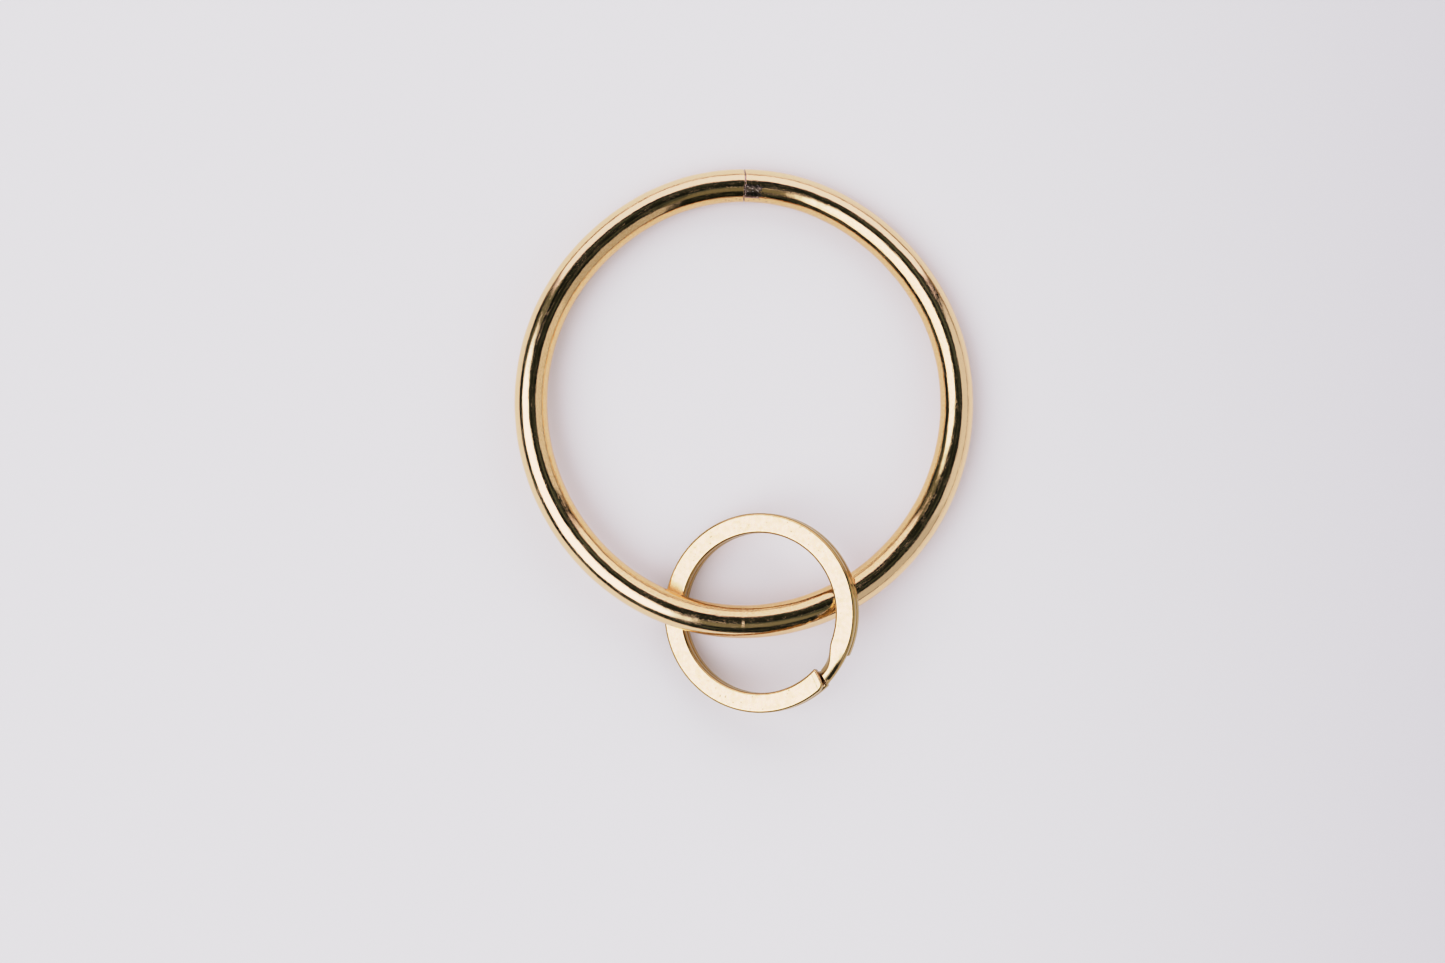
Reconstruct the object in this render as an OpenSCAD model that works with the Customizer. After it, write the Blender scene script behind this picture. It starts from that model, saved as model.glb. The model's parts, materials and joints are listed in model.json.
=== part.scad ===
// Split key ring carried on a large closed ring, both brass, as they lie on a table.
// Millimetres. +Z is up, and the origin is on the table under the middle of the pair.
// The two rings pass through each other, so neither comes off the other whole.

/* [Large ring] */
// Diameter of the round bar
bar_d = 5.0; // [4.8:0.1:5.0]
// Clear width inside the ring
inner_width = 59.2; // [58:0.2:60]
// Clear height inside the ring, from the seam to the opposite side
inner_height = 60.8; // [60.4:0.2:62]
// Width of the brazed seam where the bar's two ends meet
seam_width = 0.3; // [0.2:0.05:0.6]
// How far the braze filler stays below the bar's surface
seam_recess = 0.06; // [0.02:0.02:0.2]

/* [Split ring] */
// Outer diameter
split_od = 30; // [29.6:0.2:30.4]
// Inner diameter
split_id = 24; // [23.8:0.2:24.2]
// Thickness of the strip in one layer
strip_t = 1.4; // [1.2:0.1:1.4]
// Gap between the two layers of the coil
layer_gap = 0.04; // [0.02:0.01:0.06]
// Chamfer along the strip's edges
edge_chamfer = 0.25; // [0.1:0.05:0.4]

/* [Coil] */
// Where the front layer starts to drop to the back layer
jog_start = -26.5; // [-28:0.5:-25]
// Where the strip has reached the back layer
jog_end = -43.5; // [-44:0.5:-42]
// Where the strip's front end stops
front_end = -44.8; // [-48:0.1:-44.6]
// Where the strip's back end stops
back_end = -26.2; // [-26.4:0.1:-24]
// Where the front end starts to bend away when the ring is pried open
bend_at = 205; // [200:1:215]
// Slit between the coil and the part that bends, as an angle
bend_slit = 0.15; // [0.1:0.05:0.3]

/* [How the rings lie] */
// Distance from the large ring's centre to the split ring's centre
split_offset = 31.8; // [31.7:0.1:31.9]
// Direction of the split ring's centre, from +X
split_direction = -85.4; // [-90:0.1:-80]
// How far the split ring tilts, resting on the bar
split_tilt = 19.1; // [19:0.1:19.6]
// How far the large ring leans, lifted by the split ring under it
ring_lean = 3.2; // [3:0.1:4]
// Direction of the large ring's raised side, from +X
lean_direction = -107; // [-112:1:-102]

/* [Hidden] */

smooth = 180;                      // segments in a full turn
junction = 45;                     // angle where the oval's end and side arcs meet
half_width = (inner_width + bar_d) / 2;
half_height = (inner_height + bar_d) / 2;

// The oval is four tangent arcs. Each end arc's centre is this far above or below the middle,
// and each side arc's centre is as far across it.
arc_shift = (half_height - half_width) / (2 - sqrt(2));
end_arc_r = half_height - arc_shift;
side_arc_r = half_width + arc_shift;

// The large ring touches the table on the side away from its raised side.
lean_axis = lean_direction + 90;
low_side = arc_shift * sin(lean_direction + 180) + end_arc_r;
ring_lift = bar_d / 2 + low_side * sin(ring_lean);

// The pair's box runs from the seam to the far edge of the split ring.
top_edge = half_height + bar_d / 2;
bottom_edge = split_offset * sin(split_direction) - split_od / 2;
middle_y = (top_edge + bottom_edge) / 2;

turn = 360;                        // one full turn
front_layer_z = layer_gap / 2;
back_layer_z = -layer_gap / 2 - strip_t;
jog_middle = (jog_start + jog_end) / 2;
jog_angle = jog_start - jog_end;
// The slope fits between the jog's two ends at the strip's inner edge.
slope_fit = 0.97;
slope_half = slope_fit * split_id / 2 * sin(jog_angle / 2);
jog_lap = 0.5;                     // angle by which the jog runs into each layer
jog_inset = 0.02;                  // how far the jog's faces lie inside the strip's
past_end = 2;                      // how far a cutting shape runs past what it cuts

// Carries the pair from the large ring's own plane to how it lies on the table.
module as_it_lies() {
    translate([0, -middle_y, ring_lift])
        rotate([0, 0, lean_axis])
            rotate([-ring_lean, 0, 0])
                rotate([0, 0, -lean_axis])
                    children();
}

// Carries the split ring from its own centre to its place on the large ring.
module on_large_ring() {
    across = split_direction + 90;
    as_it_lies()
        rotate([0, 0, split_direction])
            translate([split_offset, 0, 0])
                rotate([0, 0, 90])
                    rotate([0, -split_tilt, 0])
                        rotate([0, 0, -across])
                            children();
}

// One arc of round bar in the XY plane, from an angle, centred on [x, y].
module bar_arc(x, y, radius, from, span) {
    translate([x, y, 0])
        rotate([0, 0, from])
            rotate_extrude(angle = span, $fn = smooth)
                translate([radius, 0])
                    circle(d = bar_d, $fn = smooth / 3);
}

// Round bar bent to an oval, with its two ends facing each other at the top.
module large_ring_bar() {
    end_span = turn / 2 - 2 * junction;
    side_span = 2 * junction;
    color("gold")
        as_it_lies()
            difference() {
                union() {
                    bar_arc(0, arc_shift, end_arc_r, junction, end_span);
                    bar_arc(arc_shift, 0, side_arc_r, turn / 2 - junction, side_span);
                    bar_arc(0, -arc_shift, end_arc_r, turn / 2 + junction, end_span);
                    bar_arc(-arc_shift, 0, side_arc_r, -junction, side_span);
                }
                translate([-seam_width / 2, half_height - bar_d, -bar_d])
                    cube([seam_width, 2 * bar_d, 2 * bar_d]);
            }
}

// Braze filler that joins the bar's two ends.
module large_ring_braze() {
    color("rosybrown")
        as_it_lies()
            translate([-seam_width / 2, half_height, 0])
                rotate([0, 90, 0])
                    cylinder(d = bar_d - 2 * seam_recess, h = seam_width, $fn = smooth / 3);
}

// Cross-section of the strip, with its inner and outer edges chamfered.
module strip_section(bottom_z) {
    inner = split_id / 2;
    outer = split_od / 2;
    top_z = bottom_z + strip_t;
    polygon([
        [inner + edge_chamfer, bottom_z],
        [outer - edge_chamfer, bottom_z],
        [outer, bottom_z + edge_chamfer],
        [outer, top_z - edge_chamfer],
        [outer - edge_chamfer, top_z],
        [inner + edge_chamfer, top_z],
        [inner, top_z - edge_chamfer],
        [inner, bottom_z + edge_chamfer]
    ]);
}

// One layer of the strip, from an angle and counterclockwise.
module layer_arc(bottom_z, from, span) {
    rotate([0, 0, from])
        rotate_extrude(angle = span, $fn = smooth)
            strip_section(bottom_z);
}

// The short stretch where the strip steps from the front layer down to the back layer. It is
// a little narrower and thinner than the strip, and its ends run into both layers.
module layer_jog() {
    reach = split_od / 2 + past_end;
    jog_inner = split_id / 2 + edge_chamfer;
    jog_outer = split_od / 2 - edge_chamfer;
    jog_t = strip_t - 2 * jog_inset;
    back_z = back_layer_z + jog_inset;
    front_z = front_layer_z + jog_inset;
    intersection() {
        rotate([0, 0, jog_end - jog_lap])
            rotate_extrude(angle = jog_angle + 2 * jog_lap, $fn = smooth)
                translate([jog_inner, -past_end * strip_t])
                    square([jog_outer - jog_inner, 2 * past_end * strip_t]);
        rotate([0, 0, jog_middle])
            rotate([90, 0, 90])
                linear_extrude(reach)
                    polygon([
                        [-reach, back_z],
                        [-slope_half, back_z],
                        [slope_half, front_z],
                        [reach, front_z],
                        [reach, front_z + jog_t],
                        [slope_half, front_z + jog_t],
                        [-slope_half, back_z + jog_t],
                        [-reach, back_z + jog_t]
                    ]);
    }
}

// The flat strip coiled almost twice round, except its front end.
module split_ring_coil() {
    color("khaki")
        on_large_ring()
            union() {
                layer_arc(front_layer_z, jog_start, bend_at - jog_start);
                layer_jog();
                layer_arc(back_layer_z, back_end, turn + jog_end - back_end);
            }
}

// The front end of the strip, which springs away from the back layer.
module split_ring_free_end() {
    color("palegoldenrod")
        on_large_ring()
            layer_arc(front_layer_z, bend_at + bend_slit, turn + front_end - bend_at - bend_slit);
}

large_ring_bar();
large_ring_braze();
split_ring_coil();
split_ring_free_end();
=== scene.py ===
"""A brass split key ring on a large brazed ring of round bar, on a pale table under soft studio light."""
import json
import math

import bpy
import numpy as np
from mathutils import Matrix, Vector


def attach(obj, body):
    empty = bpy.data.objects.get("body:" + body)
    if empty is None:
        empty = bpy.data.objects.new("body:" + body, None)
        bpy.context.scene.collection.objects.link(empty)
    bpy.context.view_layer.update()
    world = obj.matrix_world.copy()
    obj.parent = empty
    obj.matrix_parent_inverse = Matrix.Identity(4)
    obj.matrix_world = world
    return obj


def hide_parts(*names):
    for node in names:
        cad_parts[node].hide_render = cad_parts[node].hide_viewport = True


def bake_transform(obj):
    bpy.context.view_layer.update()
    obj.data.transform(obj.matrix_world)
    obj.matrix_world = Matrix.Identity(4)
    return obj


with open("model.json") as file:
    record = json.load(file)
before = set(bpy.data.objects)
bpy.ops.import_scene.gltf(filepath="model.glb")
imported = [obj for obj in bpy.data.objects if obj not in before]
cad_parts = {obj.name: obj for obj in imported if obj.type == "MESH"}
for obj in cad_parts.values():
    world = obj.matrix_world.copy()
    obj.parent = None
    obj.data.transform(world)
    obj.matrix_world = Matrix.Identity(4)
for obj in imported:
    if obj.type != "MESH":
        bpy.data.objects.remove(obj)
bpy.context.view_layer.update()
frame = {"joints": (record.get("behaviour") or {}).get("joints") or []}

MM = 0.001
TURN = 2 * math.pi

# The rings' own sizes, in millimetres and degrees, as the CAD part has them.
BAR_R = 2.5
HALF_WIDTH = 32.1
HALF_HEIGHT = 32.9
STRIP_IN = 12.0
STRIP_OUT = 15.0
STRIP_MID = (STRIP_IN + STRIP_OUT) / 2
STRIP_T = 1.4
LAYER_GAP = 0.04
FRONT_Z = LAYER_GAP / 2
BACK_Z = -LAYER_GAP / 2 - STRIP_T
FRONT_END = -44.8
BACK_END = -26.2
BEND_AT = 205.0
SPLIT_OFFSET = 31.8
SPLIT_DIRECTION = -85.4
SPLIT_TILT = 19.1
RING_LEAN = 3.2
LEAN_DIRECTION = -107.0

CREASE = math.radians(50)    # faces that meet at more than this show a sharp edge

joints = {joint["name"]: joint for joint in frame["joints"]}
split_centre = Vector(joints["split_ring_turnover"]["pos_m"])
outward = Vector(joints["split_ring_turnover"]["axis"]).normalized()


# ---------------------------------------------------------------- places

def large_ring_place():
    """Takes the large ring's own plane, in millimetres, to where it lies, in metres."""
    lean = math.radians(RING_LEAN)
    raised = math.radians(LEAN_DIRECTION)
    aside = -math.sin(lean)
    normal = Vector((aside * math.cos(raised), aside * math.sin(raised), math.cos(lean)))
    turn = Vector((0, 0, 1)).rotation_difference(normal).to_matrix().to_4x4()
    centre = split_centre - outward * SPLIT_OFFSET * MM
    return Matrix.Translation(centre) @ turn @ Matrix.Scale(MM, 4)


def split_ring_place():
    """Takes the split ring's own plane, in millimetres, to where it lies, in metres."""
    _, lean, _ = large_ring_place().decompose()
    across = Matrix.Rotation(math.radians(SPLIT_DIRECTION + 90), 4, "Z")
    tilt = Matrix.Rotation(math.radians(-SPLIT_TILT), 4, "Y")
    turn = lean.to_matrix().to_4x4() @ across @ tilt @ across.inverted()
    return Matrix.Translation(split_centre) @ turn @ Matrix.Scale(MM, 4)


# ---------------------------------------------------------------- mesh helpers

def smoothstep(value, low, high):
    """0 up to low, 1 from high on, and a smooth rise between them."""
    share = np.clip((value - low) / (high - low), 0.0, 1.0)
    return share * share * (3 - 2 * share)


def bump_shape(value, middle, spread):
    """1 at the middle, falling smoothly to 0 over a few spreads on each side."""
    return np.exp(-((value - middle) / spread) ** 2)


def mesh_piece(name, points, faces, place, grain, darkening=None):
    """A smooth mesh with crisp creases. grain holds how far each point is along, across and up the metal,
    and the last argument, if given, how much darker its colour is painted there, from 0 to 1."""
    mesh = bpy.data.meshes.new(name)
    mesh.from_pydata([place @ Vector(p) for p in points], [], faces)
    mesh.shade_smooth()
    mesh.set_sharp_from_angle(angle=CREASE)
    attribute = mesh.attributes.new("grain", "FLOAT_VECTOR", "POINT")
    attribute.data.foreach_set("vector", np.asarray(grain, np.float32).ravel())
    if darkening is not None:
        attribute = mesh.attributes.new("darkening", "FLOAT", "POINT")
        attribute.data.foreach_set("value", np.asarray(darkening, np.float32).ravel())
    piece = bpy.data.objects.new(name, mesh)
    bpy.context.scene.collection.objects.link(piece)
    return piece


def loft(name, rings, grain, place, darkening=None):
    """A closed skin through rings of points, which run clockwise round the ring so that its faces look
    outwards, with a flat cap at each end."""
    rings = np.asarray(rings, float)
    count, around = rings.shape[:2]
    faces = []
    for i in range(count - 1):
        a = i * around
        b = a + around
        for j in range(around):
            k = (j + 1) % around
            faces.append((a + j, a + k, b + k, b + j))
    faces.append(tuple(reversed(range(around))))
    faces.append(tuple(range((count - 1) * around, count * around)))
    return mesh_piece(name, rings.reshape(-1, 3), faces, place, np.asarray(grain).reshape(-1, 3), darkening)


# ---------------------------------------------------------------- large ring

SEAM = 90.0                  # where the bar's two ends meet, in degrees
BAR_AROUND = 96              # points in one section of the bar
BAR_MEAN_R = (HALF_WIDTH + HALF_HEIGHT) / 2
BAR_LENGTH = TURN * BAR_MEAN_R
SKIN_INSET = 0.008           # how far the skin stays inside the CAD bar, to leave room for its waves
# Shallow waves in the bar's surface, as (height, radians a millimetre along it, waves round it, phase).
WAVES = ((0.0048, 0.9, 2, 0), (0.0032, 1.7, -3, 1), (0.0012, 4.3, 5, 0))
# How the bent bar strays from the true oval, as (middle and spread in degrees, distance outwards).
HAND_BENDS = ((50, 24, -0.38), (130, 20, -0.24), (262, 30, 0.12))
CRACK_HALF = 0.07            # half the width of the crack between the bar's ends
CRACK_SLANT = 0.28           # how far the crack slants along the bar over the upper part of the section
CRACK_FADE = 1.2             # how far from the crack its straying still bends the bar's sections
CRACK_DARK_SPREAD = 0.05           # how far the darkening in and round the crack spreads
# How far the bar's end faces are eased: along the bar, and in from its surface.
END_EASE = ((0.0, 0.22), (0.0, 0.09), (0.012, 0.035), (0.04, 0.010), (0.09, 0.0))
# Pits by the seam, as (along the bar from the seam, degrees round it from the outer side, depth).
PITS = (
    (3.05, 152, 0.06), (2.55, 156, 0.05), (1.25, 150, 0.06), (0.70, 155, 0.05), (-1.60, 153, 0.06),
    (-2.60, 150, 0.07), (-3.55, 140, 0.09), (-3.75, 158, 0.10), (2.05, 163, 0.04), (-0.75, 161, 0.05),
)
PIT_R = 0.09
PIT_DARK_SPREAD = 0.13             # how far the darkening round a pit spreads


def oval_arc(angle):
    """The centre and radius of the oval's arc that faces that direction, in degrees."""
    shift = (HALF_HEIGHT - HALF_WIDTH) / (2 - math.sqrt(2))
    turned = (angle + 45) % 360
    if turned < 90:
        return (-shift, 0.0), HALF_WIDTH + shift
    if turned < 180:
        return (0.0, shift), HALF_HEIGHT - shift
    if turned < 270:
        return (shift, 0.0), HALF_WIDTH + shift
    return (0.0, -shift), HALF_HEIGHT - shift


def hand_bend(angle):
    """How far the bent bar strays from the true oval: it comes to a slight peak at the seam."""
    return sum(out * bump_shape(angle, middle, spread) for middle, spread, out in HAND_BENDS)


def crack_stray(around):
    """How far the crack strays along the bar, in millimetres, at an angle round the bar from its outer
    side: it slants up to the bar's top, steps back there and then runs on ragged but straight."""
    degrees = np.degrees(around) % 360
    slant = -CRACK_SLANT * smoothstep(degrees, 5, 82) * (1 - smoothstep(degrees, 88, 102))
    ragged = 0.03 * np.sin(around * 5 + 1.0) + 0.015 * np.sin(around * 11)
    return slant + ragged


def on_bar(along, radius, around):
    """The point that far along the bar from the seam, counterclockwise, at a radius and an angle in the
    bar's own section, in millimetres."""
    angle = SEAM + math.degrees(along / BAR_MEAN_R)
    centre, arc_r = oval_arc(angle)
    spread = arc_r + hand_bend(angle % 360) + radius * np.cos(around)
    x = centre[0] + spread * math.cos(math.radians(angle))
    y = centre[1] + spread * math.sin(math.radians(angle))
    return np.stack((x, y, radius * np.sin(around)), -1)


def bar_grain(along, radius, around):
    """Where that point lies in the metal of the straight bar, in millimetres."""
    return np.stack((along + 0 * around, radius * np.cos(around), radius * np.sin(around)), -1)


def bar_section(along, inset=0.0):
    """The bar's section that far along it from the seam, with its grain and how much darker its points are
    painted in and round the crack and pits.
    """
    from_seam = along if along < BAR_LENGTH / 2 else along - BAR_LENGTH
    around = np.linspace(-math.pi / 2, TURN - math.pi / 2, BAR_AROUND, endpoint=False)
    wave = sum(
        height * np.sin(along * pace + turns * around + phase) for height, pace, turns, phase in WAVES
    )
    radius = BAR_R - SKIN_INSET - inset + wave
    # Darker in and round the crack and the pits.
    darkening = np.full(BAR_AROUND, bump_shape(abs(from_seam), CRACK_HALF, CRACK_DARK_SPREAD))
    for pit_along, pit_round, depth in PITS:
        off_round = (np.degrees(around) - pit_round + 180) % 360 - 180
        off = np.hypot(from_seam - pit_along, np.radians(off_round) * BAR_R)
        radius = radius - depth * bump_shape(off, 0, PIT_R)
        darkening = np.maximum(darkening, bump_shape(off, 0, PIT_DARK_SPREAD))
    angle = math.radians(SEAM) + along / BAR_MEAN_R
    tangent = np.array((-math.sin(angle), math.cos(angle), 0))
    stray = crack_stray(around) * math.exp(-abs(from_seam) / CRACK_FADE)
    points = on_bar(along, radius, around) + stray[:, None] * tangent
    return points, bar_grain(from_seam, radius, around), darkening


def large_ring_bar():
    """The bent bar, its two ends eased and facing each other across the crack. Its sections lie close
    together by the seam and further apart round the rest of the ring."""
    fine, coarse, fine_reach = 0.05, 0.42, 4.6
    eased = CRACK_HALF + END_EASE[-1][0]
    near = list(np.arange(eased + fine, fine_reach, fine))
    far = list(np.linspace(fine_reach, BAR_LENGTH / 2, int(BAR_LENGTH / 2 / coarse)))
    half = [(CRACK_HALF + along, inset) for along, inset in END_EASE]
    half += [(along, 0.0) for along in near + far]
    back = [(BAR_LENGTH - along, inset) for along, inset in reversed(half[:-1])]
    clockwise = reversed(half + back)
    skin, grain, darkening = zip(*(bar_section(along, inset) for along, inset in clockwise))
    return loft("large_ring_bar_skin", skin, grain, large_ring_place(), darkening)


FILLER_HALF = CRACK_HALF + 0.05    # half the filler's thickness, which runs in under the eased ends
FILLER_DEPTH = 0.12                # how far the filler lies below the bar's surface
SMEAR_REACH = 2.6                  # how far the smear ran along the bar, in millimetres
SMEAR_ROUND = (92.0, 146.0)        # where it lies round the bar, in degrees from its outer side
SMEAR_SINK = 0.12                  # how far its hidden underside lies in the bar
SMEAR_EDGE = 0.02                  # how far its visible edges dip below the bar's surface
RIDGE = (0.20, 0.08, 0.050)        # its ridge: how far from the crack's middle, how wide, how high


def crack_disc():
    """The filler in the crack: a rough disc just below the bar's surface, as points, grain and faces."""
    centre, arc_r = oval_arc(SEAM)
    middle_y = centre[1] + arc_r + hand_bend(SEAM)
    around = 64
    points, grain = [], []
    for side in (-FILLER_HALF, FILLER_HALF):
        for i in range(around):
            a = TURN * i / around
            rough = 0.02 * math.sin(a * 9) + 0.02 * math.sin(a * 17 + 1)
            r = BAR_R - FILLER_DEPTH + rough
            y, z = r * math.cos(a), r * math.sin(a)
            points.append((side - crack_stray(a), middle_y + y, z))
            grain.append((side, y, z))
    faces = []
    for i in range(around):
        k = (i + 1) % around
        faces.append((i, k, around + k, around + i))
    faces.append(tuple(reversed(range(around))))
    faces.append(tuple(range(around, 2 * around)))
    return points, grain, faces


def smear_point(share, turn, outer):
    """A point of the smear and its grain. share is how far along it from the crack, turn how far round
    the bar, and outer is whether it is on the visible side."""
    a = math.radians(SMEAR_ROUND[0] + (SMEAR_ROUND[1] - SMEAR_ROUND[0]) * turn)
    ragged = 1 + 0.10 * math.sin(a * 14 + 1) + 0.06 * math.sin(a * 33)
    along = -FILLER_HALF - SMEAR_REACH * share * ragged
    lump = 0.5 + 0.5 * math.sin(along * 5.1 + 3 * math.sin(a * 7)) * math.sin(a * 9 + along * 2.3)
    swell = 0.5 + 0.5 * math.sin(a * 13 + 1.3 * along)
    ridge_at, ridge_wide, ridge_high = RIDGE
    height = 0.012 * lump + 0.004 * swell + ridge_high * bump_shape(along, -ridge_at, ridge_wide)
    border = min(share / 0.03, (1 - share) / 0.06, turn / 0.10, (1 - turn) / 0.10, 1.0)
    lift = (height + SMEAR_EDGE) * (1 - (1 - max(border, 0.0)) ** 2) - SMEAR_EDGE
    r = BAR_R + (lift if outer else -SMEAR_SINK)
    return on_bar(along, r, a), bar_grain(along, r, a)


def smear():
    """The filler that ran along the bar beside the crack: a thin closed patch, as points, grain and
    faces."""
    along_steps, round_steps = 70, 50
    points, grain = [], []
    for outer in (True, False):
        for i in range(along_steps + 1):
            for j in range(round_steps + 1):
                point, along_grain = smear_point(i / along_steps, j / round_steps, outer)
                points.append(point)
                grain.append(along_grain)
    row = round_steps + 1
    layer_size = row * (along_steps + 1)

    def corner(layer, i, j):
        return layer * layer_size + i * row + j

    faces = []
    for i in range(along_steps):
        for j in range(round_steps):
            quad = ((i, j), (i + 1, j), (i + 1, j + 1), (i, j + 1))
            faces.append(tuple(corner(0, *c) for c in reversed(quad)))
            faces.append(tuple(corner(1, *c) for c in quad))
    rim = [(i, 0) for i in range(along_steps)]
    rim += [(along_steps, j) for j in range(round_steps)]
    rim += [(i, round_steps) for i in range(along_steps, 0, -1)]
    rim += [(0, j) for j in range(round_steps, 0, -1)]
    for here, there in zip(rim, rim[1:] + rim[:1]):
        faces.append((corner(1, *there), corner(1, *here), corner(0, *here), corner(0, *there)))
    return points, grain, faces


def braze_filler():
    """The filler in the seam: the disc in the crack, and the smear beside it."""
    points, grain, faces = crack_disc()
    more_points, more_grain, more_faces = smear()
    faces += [tuple(len(points) + corner for corner in face) for face in more_faces]
    return mesh_piece(
        "large_ring_braze_filler", points + more_points, faces, large_ring_place(), grain + more_grain,
    )


# ---------------------------------------------------------------- split ring

EDGE_ROUND = 0.40            # the strip's long edges
FACE_ROUND = 0.34            # its cut ends' upper and lower edges
JOG_FIRST = -14.0            # where the strip starts to change towards the jog
JOG_LAST = -50.0             # where it is wholly on the back layer again
JOG_INNER = 1.45             # how far the inner side's top moves outwards in the jog
JOG_OUTER = 0.16             # how far the outer side moves inwards
BEVEL_FROM = 13.65           # the radius beyond which the jog's outer edge is bevelled
BEVEL_DROP = 0.42            # how steeply the bevel falls
GENTLE_DROP = 0.40           # the share of the way down that the strip goes gently
END_WEAR = 0.4               # how far the front end's cut has worn back, in degrees
END_SLANT = 1.27             # how far the front end's cut leans, in degrees to a millimetre of radius
GAP_BEFORE_END = 0.25        # how far before the front end the jog is wholly down, in degrees
GAP_WIDTH = 1.25             # how far its last steep drop reaches, in degrees


def strip_outline():
    """The strip's section as (radius, height) above its lower face, with rounded edges."""
    in_x, out_x = STRIP_IN + EDGE_ROUND, STRIP_OUT - EDGE_ROUND
    low_y, high_y = EDGE_ROUND, STRIP_T - EDGE_ROUND
    corners = ((out_x, low_y, -90), (out_x, high_y, 0), (in_x, high_y, 90), (in_x, low_y, 180))
    corner_steps, flat_steps = 6, 16
    points = []
    for i, (x, y, start) in enumerate(corners):
        for k in range(corner_steps + 1):
            a = math.radians(start + 90 * k / corner_steps)
            points.append((x + EDGE_ROUND * math.cos(a), y + EDGE_ROUND * math.sin(a)))
        next_x, next_y, next_start = corners[(i + 1) % 4]
        a = math.radians(next_start)
        from_x, from_y = points[-1]
        to_x, to_y = next_x + EDGE_ROUND * math.cos(a), next_y + EDGE_ROUND * math.sin(a)
        for k in range(1, flat_steps):
            share = k / flat_steps
            points.append((from_x + (to_x - from_x) * share, from_y + (to_y - from_y) * share))
    return np.array(points)


def jog_shape(angle, outline):
    """The strip's section through the jog, where it narrows and bevels as it drops to the back layer,
    and how much painted shadow each of its points gets."""
    width = (outline[:, 0] - STRIP_IN) / (STRIP_OUT - STRIP_IN)
    height = outline[:, 1] / STRIP_T
    way = -angle
    points = outline.copy()

    # It narrows, most at the inner side's top, and bevels at the outer side.
    lets_go = 1 - smoothstep(way, 43, 48)
    narrowed = smoothstep(way, 20, 40) * lets_go
    points[:, 0] += JOG_INNER * narrowed * (1 - width) * (0.28 + 0.72 * height)
    points[:, 0] -= JOG_OUTER * narrowed * width
    beyond = np.clip(points[:, 0] - BEVEL_FROM, 0, None)
    points[:, 1] -= BEVEL_DROP * smoothstep(way, 14, 42) * lets_go * beyond ** 2 * height

    # It drops gently at first, and steeply right before the front end's cut.
    gap = -FRONT_END + END_WEAR + END_SLANT * (points[:, 0] - STRIP_MID) - GAP_BEFORE_END
    gentle = GENTLE_DROP * smoothstep(way, 26, 46)
    steep = smoothstep(way, gap - GAP_WIDTH, gap)
    drop = gentle + (1 - gentle) * steep
    points[:, 1] -= drop * (STRIP_T + LAYER_GAP)

    # Painted shadow lies in the gap, on the upper side and short of the outer edge.
    in_gap = smoothstep(steep, 0.02, 0.3) * (1 - smoothstep(way, gap + 0.5, gap + 2))
    upper = smoothstep(height, 0.4, 0.9)
    short_of_edge = 1 - smoothstep(width, 0.80, 0.95)
    return points, in_gap * upper * short_of_edge


def strip_section(angle, base, outline, slant=0.0, metal=None):
    """One section of the strip, at an angle in degrees, standing on height base. metal is the section
    before it was pressed to shape, where that differs."""
    metal = outline if metal is None else metal
    width = (outline[:, 0] - STRIP_IN) / (STRIP_OUT - STRIP_IN) - 0.5
    a = np.radians(angle + slant * width)
    points = np.stack((outline[:, 0] * np.cos(a), outline[:, 0] * np.sin(a), base + outline[:, 1]), 1)
    grain = np.stack((np.radians(angle) * STRIP_MID + 0 * width, metal[:, 0], base + metal[:, 1]), 1)
    return points, grain


def cut_end(end_angle, way, base, outline, outer_round, inner_round, slant):
    """The last sections before a cut end, with its corners rounded. way is +1 counterclockwise."""
    steps = 12
    longest = max(outer_round, inner_round, FACE_ROUND)

    def inset(rounding, to_end):
        if to_end >= rounding:
            return 0.0
        return rounding - math.sqrt(rounding ** 2 - (rounding - to_end) ** 2)

    sections = []
    for i in range(steps + 1):
        to_end = longest * (1 - math.sin(math.pi / 2 * i / steps))
        points = outline.copy()
        inner, outer = STRIP_IN + inset(inner_round, to_end), STRIP_OUT - inset(outer_round, to_end)
        share = (points[:, 0] - STRIP_IN) / (STRIP_OUT - STRIP_IN)
        points[:, 0] = inner + (outer - inner) * share
        squeeze = 1 - 2 * inset(FACE_ROUND, to_end) / STRIP_T
        points[:, 1] = STRIP_T / 2 + (points[:, 1] - STRIP_T / 2) * squeeze
        angle = end_angle - way * math.degrees(to_end / STRIP_MID)
        sections.append(strip_section(angle, base, points, slant, outline))
    return sections


def split_ring_coil():
    """The strip from where its front end bends, clockwise through the jog, to its back end."""
    outline = strip_outline()
    unshaded = np.zeros(len(outline))
    # Per section, how much painted shadow darkens it: only in the jog's gap.
    sections, darkening = [], []
    for angle in np.arange(BEND_AT, JOG_FIRST, -1.0):
        sections.append(strip_section(angle, FRONT_Z, outline))
        darkening.append(unshaded)
    for angle in np.arange(JOG_FIRST, JOG_LAST, -0.25):
        points, painted_shade = jog_shape(angle, outline)
        sections.append(strip_section(angle, FRONT_Z, points, 0.0, outline))
        darkening.append(painted_shade)
    end = BACK_END - 360
    for angle in np.linspace(JOG_LAST, end + 2, 300):
        sections.append(strip_section(angle, BACK_Z, outline))
    sections += cut_end(end, -1, BACK_Z, outline, 0.35, 0.25, 0.0)
    darkening += [unshaded] * (len(sections) - len(darkening))
    skin, grain = zip(*sections)
    return loft("split_ring_coil_strip", skin, grain, split_ring_place(), darkening)


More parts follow.
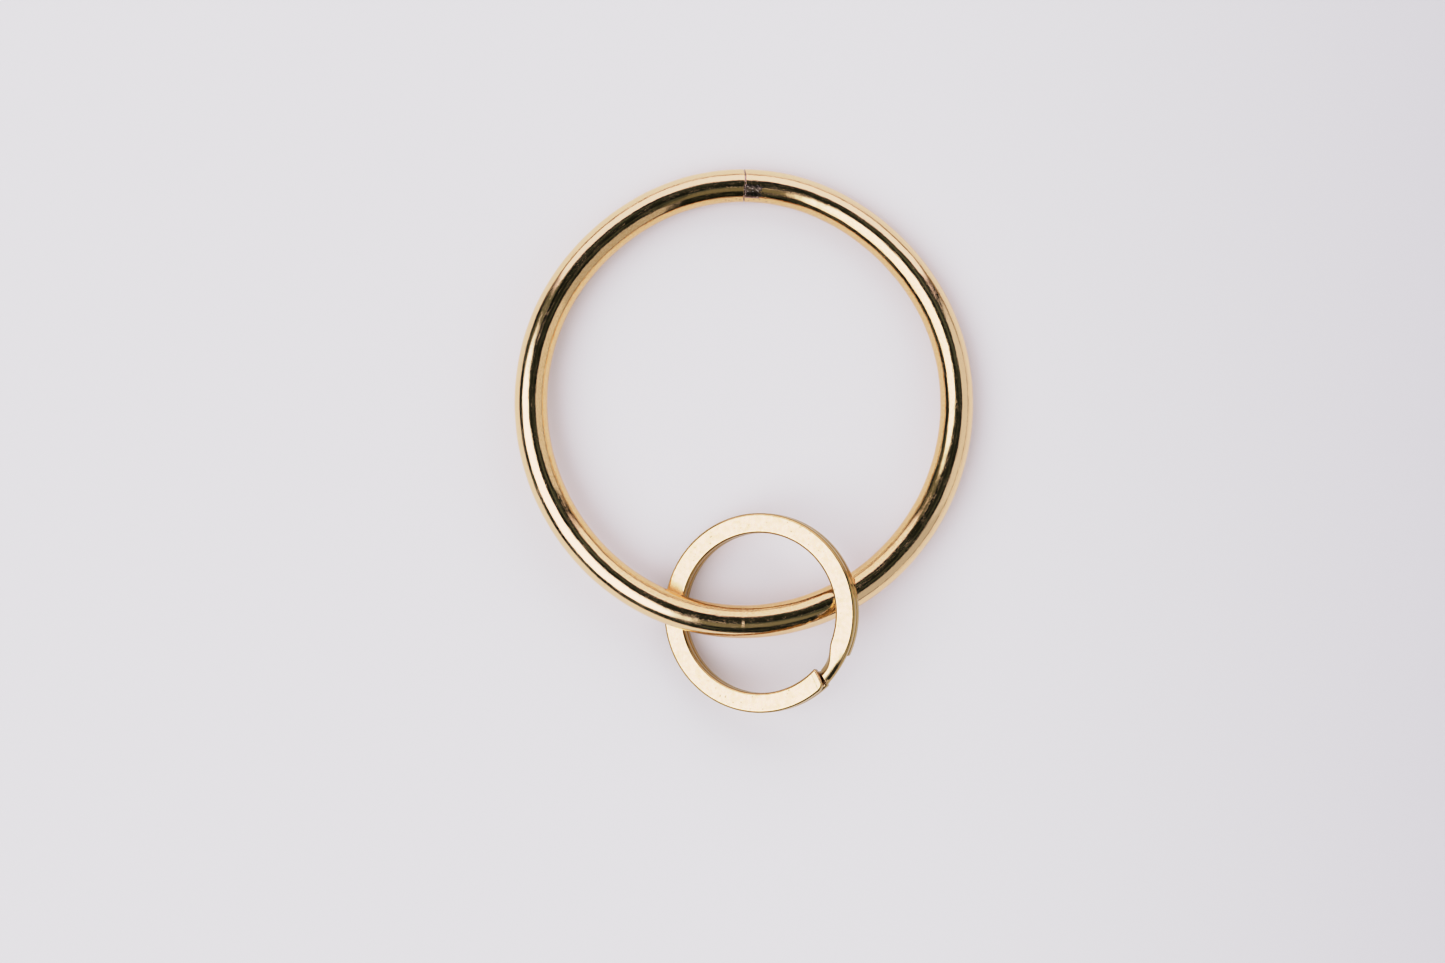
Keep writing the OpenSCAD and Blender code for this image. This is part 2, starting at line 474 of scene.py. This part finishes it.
def split_ring_free_end():
    """The front end of the strip, from where it bends, counterclockwise to its cut end."""
    outline = strip_outline()
    end = 360 + FRONT_END - END_WEAR
    slant = -END_SLANT * (STRIP_OUT - STRIP_IN)
    sections = []
    for angle in np.linspace(BEND_AT, end - 4.0, 108):
        share = smoothstep(angle, end - 18, end - 4)
        sections.append(strip_section(angle, FRONT_Z, outline, slant * share))
    unshaded = [np.zeros(len(outline))] * len(sections)
    sections += cut_end(end, 1, FRONT_Z, outline, 1.05, 0.40, slant)
    foot = 1 - 0.8 * smoothstep(outline[:, 1], 0.35, 0.8)    # painted shade, darkest at the lower edge
    shaded = [foot * share for share in np.linspace(0, 1, len(sections) - len(unshaded)) ** 3]
    skin, grain = zip(*reversed(sections))
    painted_shade = (unshaded + shaded)[::-1]
    return loft("split_ring_free_end_strip", skin, grain, split_ring_place(), painted_shade)


# ---------------------------------------------------------------- materials

PRESSED_JOG = (-26, -52)         # from where to where the press left the jog smooth, in degrees
PRESSED_ACROSS = (13.7, 14.1)    # the radii between which that smoothness sets in, in millimetres


class Nodes:
    """A short way to write a node tree."""

    def __init__(self, owner):
        owner.use_nodes = True
        self.tree = owner.node_tree
        self.tree.nodes.clear()

    def add(self, kind, inputs=None, **settings):
        node = self.tree.nodes.new(kind)
        for key, value in settings.items():
            setattr(node, key, value)
        for key, value in (inputs or {}).items():
            if isinstance(value, bpy.types.NodeSocket):
                self.tree.links.new(value, node.inputs[key])
            else:
                node.inputs[key].default_value = value
        return node

    def math(self, operation, a, b=0.0):
        return self.add("ShaderNodeMath", {0: a, 1: b}, operation=operation).outputs[0]

    def ramp(self, value, low, high, to_low=0.0, to_high=1.0):
        inputs = {"Value": value, "From Min": low, "From Max": high, "To Min": to_low, "To Max": to_high}
        return self.add("ShaderNodeMapRange", inputs, interpolation_type="SMOOTHSTEP").outputs[0]

    def mix(self, factor, a, b):
        return self.add("ShaderNodeMix", {0: factor, 6: a, 7: b}, data_type="RGBA").outputs[2]

    def noise(self, vector, scale, detail=3.0, stretch=(1, 1, 1), turn=0.0):
        """Noise whose scale is in features per millimetre of the metal, stretched along it."""
        inputs = {"Vector": vector, "Scale": stretch, "Rotation": (0, 0, turn)}
        placed = self.add("ShaderNodeMapping", inputs).outputs[0]
        inputs = {"Vector": placed, "Scale": scale, "Detail": detail}
        return self.add("ShaderNodeTexNoise", inputs).outputs["Fac"]

    def bump(self, height, micrometres, normal=None):
        inputs = {"Height": height, "Strength": 1.0, "Distance": micrometres * 1e-6}
        if normal is not None:
            inputs["Normal"] = normal
        return self.add("ShaderNodeBump", inputs).outputs[0]

    def metal(self, colour, rough, normal):
        inputs = {"Base Color": colour, "Metallic": 1.0, "Roughness": rough, "Normal": normal}
        shader = self.add("ShaderNodeBsdfPrincipled", inputs)
        self.add("ShaderNodeOutputMaterial", {"Surface": shader.outputs[0]})


def grain_of(nodes):
    """Where each point of the skin lies in the metal, in millimetres."""
    return nodes.add("ShaderNodeAttribute", attribute_name="grain").outputs["Vector"]


def polished_brass():
    """Mirror brass with polishing streaks, specks of haze and fine scratches, with painted shade and warm
    bounce light from the table in blotches on the ring's inner side, and darker in and round its pits and
    crack."""
    material = bpy.data.materials.new("polished_brass")
    nodes = Nodes(material)
    grain = grain_of(nodes)
    streaks = nodes.noise(grain, 4.5, 3.0, (0.05, 1, 1))
    sand = nodes.noise(grain, 9.0, 4.0, (0.6, 1.0, 1.0))
    patches = nodes.noise(grain, 0.4, 3.0)
    scratches = nodes.noise(grain, 7.0, 1.0, (0.08, 1.0, 1.0), 0.6)
    specks = nodes.noise(grain, 7.0, 3.0, (0.4, 1.0, 1.0))
    wear = nodes.math("ADD", nodes.math("MULTIPLY", streaks, 0.5), nodes.math("MULTIPLY", specks, 0.5))
    haze = nodes.math("MULTIPLY", nodes.ramp(patches, 0.2, 0.65, 0.25, 1.0), nodes.ramp(wear, 0.42, 0.66))
    rough = nodes.ramp(haze, 0.0, 1.0, 0.045, 0.27)
    inner_side = nodes.ramp(nodes.add("ShaderNodeSeparateXYZ", {0: grain}).outputs["Y"], 1.0, -2.2)
    # Painted shade and warm bounce light from the table: the inner side's colour darker and warmer, in
    # blotches.
    inner_shade_blotches = nodes.math("MULTIPLY", inner_side, nodes.ramp(specks, 0.35, 0.62, 0.35, 1.0))
    colour = nodes.mix(inner_shade_blotches, (0.93, 0.62, 0.335, 1), (0.78, 0.465, 0.19, 1))
    # Darker in and round the crack and the pits.
    darkening = nodes.add("ShaderNodeAttribute", attribute_name="darkening").outputs["Fac"]
    colour = nodes.mix(nodes.math("MULTIPLY", darkening, 0.85), colour, (0.16, 0.10, 0.07, 1))
    normal = nodes.bump(streaks, 3.5)
    normal = nodes.bump(sand, 4.0, normal)
    normal = nodes.bump(scratches, 4.0, normal)
    nodes.metal(colour, rough, normal)
    return material


def satin_brass():
    """Tumbled brass: a fine sandy grain, with painted shade and dark reflection along its rounded edges and
    walls, and a few small stains.
    """
    material = bpy.data.materials.new("satin_brass")
    nodes = Nodes(material)
    grain = grain_of(nodes)
    sand = nodes.noise(grain, 7.0, 4.0)
    cloud = nodes.noise(grain, 1.3, 3.0)
    stain = nodes.ramp(nodes.noise(grain, 0.8, 4.0), 0.57, 0.65)
    pits = nodes.ramp(nodes.noise(grain, 2.6, 0.0), 0.79, 0.82)
    worn = nodes.math("MULTIPLY", stain, nodes.ramp(sand, 0.35, 0.6))
    place = nodes.add("ShaderNodeSeparateXYZ", {0: grain})
    along, across = place.outputs["X"], place.outputs["Y"]
    off_middle = nodes.math("ABSOLUTE", nodes.math("SUBTRACT", across, STRIP_MID))
    edge = nodes.ramp(off_middle, 1.20, 1.38)
    tumbled = nodes.ramp(off_middle, 1.00, 1.12)
    jog_start, jog_end = (STRIP_MID * math.radians(angle) for angle in PRESSED_JOG)
    in_jog = nodes.ramp(along, jog_start, jog_start - 2)
    pressed = nodes.math("MULTIPLY", in_jog, nodes.ramp(across, *PRESSED_ACROSS, 0.0, 0.8))
    pressed = nodes.math("MULTIPLY", pressed, nodes.ramp(along, jog_end - 1, jog_end))
    tumbled = nodes.math("MAXIMUM", tumbled, pressed)
    colour = nodes.mix(nodes.ramp(cloud, 0.35, 0.65), (0.93, 0.63, 0.345, 1), (0.84, 0.55, 0.275, 1))
    colour = nodes.mix(nodes.math("MULTIPLY", worn, 0.6), colour, (0.74, 0.44, 0.18, 1))
    colour = nodes.mix(nodes.math("MULTIPLY", pits, 0.8), colour, (0.30, 0.17, 0.08, 1))
    # Painted shade and dark reflection: darker colour along the rounded edges and walls.
    colour = nodes.mix(edge, colour, (0.41, 0.265, 0.08, 1))
    # Painted shadow: darker in the jog's gap and along the lower edge by the front end's cut.
    darkening = nodes.add("ShaderNodeAttribute", attribute_name="darkening").outputs["Fac"]
    colour = nodes.mix(darkening, colour, (0.12, 0.06, 0.02, 1))
    rough = nodes.ramp(sand, 0.3, 0.7, 0.22, 0.32)
    rough = nodes.math("MULTIPLY", rough, nodes.ramp(tumbled, 0.0, 1.0, 1.0, 0.36))
    normal = nodes.bump(sand, 3.0)
    nodes.metal(colour, rough, normal)
    return material


def braze_metal():
    """Dark pinkish filler with a few bright flecks."""
    material = bpy.data.materials.new("braze_filler")
    nodes = Nodes(material)
    grain = grain_of(nodes)
    lumps = nodes.noise(grain, 3.0, 4.0, (0.4, 1, 1))
    flecks = nodes.ramp(nodes.noise(grain, 4.0, 2.0, (0.5, 1, 1)), 0.62, 0.70)
    colour = nodes.mix(nodes.ramp(lumps, 0.35, 0.65), (0.20, 0.135, 0.115, 1), (0.44, 0.31, 0.255, 1))
    colour = nodes.mix(flecks, colour, (0.90, 0.78, 0.66, 1))
    rough = nodes.math("ADD", nodes.ramp(lumps, 0.3, 0.7, 0.10, 0.22), nodes.math("MULTIPLY", flecks, 0.25))
    nodes.metal(colour, rough, nodes.bump(lumps, 5.0))
    return material


def table_top():
    """Pale matt board, its colour painted a little darker away from the window as painted shade."""
    material = bpy.data.materials.new("table_top")
    nodes = Nodes(material)
    place = nodes.add("ShaderNodeTexCoord").outputs["Object"]
    across = nodes.add("ShaderNodeSeparateXYZ", {0: place}).outputs["X"]
    # Painted shade: the board's colour darkens away from the window.
    dim = nodes.ramp(across, 0.0, 0.16)
    colour = nodes.mix(dim, (0.81, 0.775, 0.82, 1), (0.55, 0.525, 0.57, 1))
    shader = nodes.add("ShaderNodeBsdfPrincipled", {"Base Color": colour, "Roughness": 0.6})
    nodes.add("ShaderNodeOutputMaterial", {"Surface": shader.outputs[0]})
    return material


# ---------------------------------------------------------------- studio

WINDOW_FILL = 1.38           # how much stronger the room lights the table than the metal shows it
ROOM_FILL = 0.30             # light that reaches the table from everywhere
# The camera's tone curve: scene light in, picture light out. Mid tones are straight and highlights
# roll off.
TONE_CURVE = ((0.6, 0.6), (0.8, 0.70), (1.0, 0.755), (1.3, 0.81), (1.7, 0.865), (2.2, 0.93))
TONE_WHITE = 2.8


def tone_curve():
    view = bpy.context.scene.view_settings
    view.view_transform = "Standard"
    view.use_curve_mapping = True
    mapping = view.curve_mapping
    mapping.white_level = (TONE_WHITE, TONE_WHITE, TONE_WHITE)
    curve = mapping.curves[3]
    curve.points[0].handle_type = "VECTOR"
    for light, shown in TONE_CURVE:
        curve.points.new(light / TONE_WHITE, shown)
    mapping.update()


def studio_light():
    """The room around the table: a big window on the left, pale walls, a dark gap overhead."""
    world = bpy.data.worlds.new("studio")
    bpy.context.scene.world = world
    nodes = Nodes(world)
    direction = nodes.add("ShaderNodeTexCoord").outputs["Generated"]
    axes = nodes.add("ShaderNodeSeparateXYZ", {0: direction})
    azimuth = nodes.math("ARCTAN2", axes.outputs["Y"], axes.outputs["X"])
    azimuth = nodes.math("MULTIPLY", azimuth, 360 / TURN)
    zenith = nodes.math("MULTIPLY", nodes.math("ARCCOSINE", axes.outputs["Z"]), 360 / TURN)

    def off_azimuth(middle):
        off = nodes.math("ADD", nodes.math("SUBTRACT", azimuth, middle), 540.0)
        return nodes.math("ABSOLUTE", nodes.math("SUBTRACT", nodes.math("MODULO", off, 360.0), 180.0))

    def panel(left, right, top, bottom, roundness, soft):
        """1 inside a rounded patch of azimuth and zenith angle, in degrees, and 0 outside it."""
        aside = nodes.math("DIVIDE", off_azimuth((left + right) / 2), (right - left) / 2)
        above = nodes.math("SUBTRACT", zenith, (top + bottom) / 2)
        above = nodes.math("DIVIDE", nodes.math("ABSOLUTE", above), (bottom - top) / 2)
        reach = nodes.math("POWER", aside, roundness)
        reach = nodes.math("ADD", reach, nodes.math("POWER", above, roundness))
        return nodes.ramp(reach, 1 - soft, 1 + soft, 1.0, 0.0)

    inputs = {"Vector": direction, "Scale": 7.0, "Detail": 3.0}
    clutter = nodes.add("ShaderNodeTexNoise", inputs).outputs["Fac"]
    clutter = nodes.ramp(clutter, 0.46, 0.74)
    colour = nodes.mix(clutter, (0.006, 0.008, 0.006, 1), (0.10, 0.13, 0.11, 1))
    # Each as its azimuths and its zenith angles in degrees, how square and how soft it is, and its light.
    panels = (
        (246, 302, 17, 42, 3, 0.60, (0.18, 0.19, 0.14, 1)),
        (130, 166, 26, 66, 3, 0.60, (0.12, 0.135, 0.10, 1)),
        (297, 391, 36, 82, 6, 0.25, (0.52, 0.52, 0.56, 1)),
        (338, 391, 38, 82, 5, 0.45, (0.78, 0.77, 0.86, 1)),
        (38, 141, 35, 83, 4, 0.25, (1.45, 1.27, 1.55, 1)),
        (20, 150, 75.5, 80.5, 8, 0.30, (0.34, 0.27, 0.19, 1)),
        (152, 253, 5, 60, 3, 0.40, (2.60, 2.55, 2.90, 1)),
    )
    for left, right, top, bottom, roundness, soft, tint in panels:
        colour = nodes.mix(panel(left, right, top, bottom, roundness, soft), colour, tint)
    colour = nodes.mix(nodes.ramp(zenith, 84.5, 87.0), colour, (1.05, 1.0, 1.08, 1))
    paths = nodes.add("ShaderNodeLightPath")
    grey = nodes.add("ShaderNodeRGBToBW", {0: colour}).outputs[0]
    grey = nodes.math("ADD", nodes.math("MULTIPLY", grey, WINDOW_FILL), ROOM_FILL)
    colour = nodes.mix(paths.outputs["Is Diffuse Ray"], colour, grey)
    colour = nodes.mix(paths.outputs["Is Camera Ray"], colour, (1.0, 0.95, 1.05, 1))
    shader = nodes.add("ShaderNodeBackground", {"Color": colour, "Strength": 1.0})
    nodes.add("ShaderNodeOutputWorld", {"Surface": shader.outputs[0]})


def table():
    half = 1.5
    mesh = bpy.data.meshes.new("table")
    corners = [(-half, -half, 0), (half, -half, 0), (half, half, 0), (-half, half, 0)]
    mesh.from_pydata(corners, [], [(0, 1, 2, 3)])
    floor = bpy.data.objects.new("table", mesh)
    bpy.context.scene.collection.objects.link(floor)
    mesh.materials.append(table_top())


def camera():
    """Straight above the table, with the top of the picture along +Y."""
    lens, sensor, view_width = 100.0, 36.0, 0.2178
    left, down = 0.00324, 0.0119
    centre = large_ring_place().translation
    lens_data = bpy.data.cameras.new("camera")
    lens_data.lens = lens
    lens_data.sensor_width = sensor
    seat = bpy.data.objects.new("camera", lens_data)
    height = view_width * lens / sensor
    seat.location = (centre.x - left, centre.y - down, centre.z + height)
    bpy.context.scene.collection.objects.link(seat)
    bpy.context.scene.camera = seat


def dress(piece, material, node):
    """Gives a piece its material, and hides the CAD part it stands for."""
    piece.data.materials.append(material)
    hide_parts(node)
    return piece


def rings():
    satin = satin_brass()
    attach(dress(large_ring_bar(), polished_brass(), "large_ring_bar"), "large_ring")
    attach(dress(braze_filler(), braze_metal(), "large_ring_braze"), "large_ring")
    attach(dress(split_ring_coil(), satin, "split_ring_coil"), "split_ring")
    free_end = dress(split_ring_free_end(), satin, "split_ring_free_end")
    place = split_ring_place()
    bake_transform(free_end)


camera()
tone_curve()
studio_light()
table()
rings()
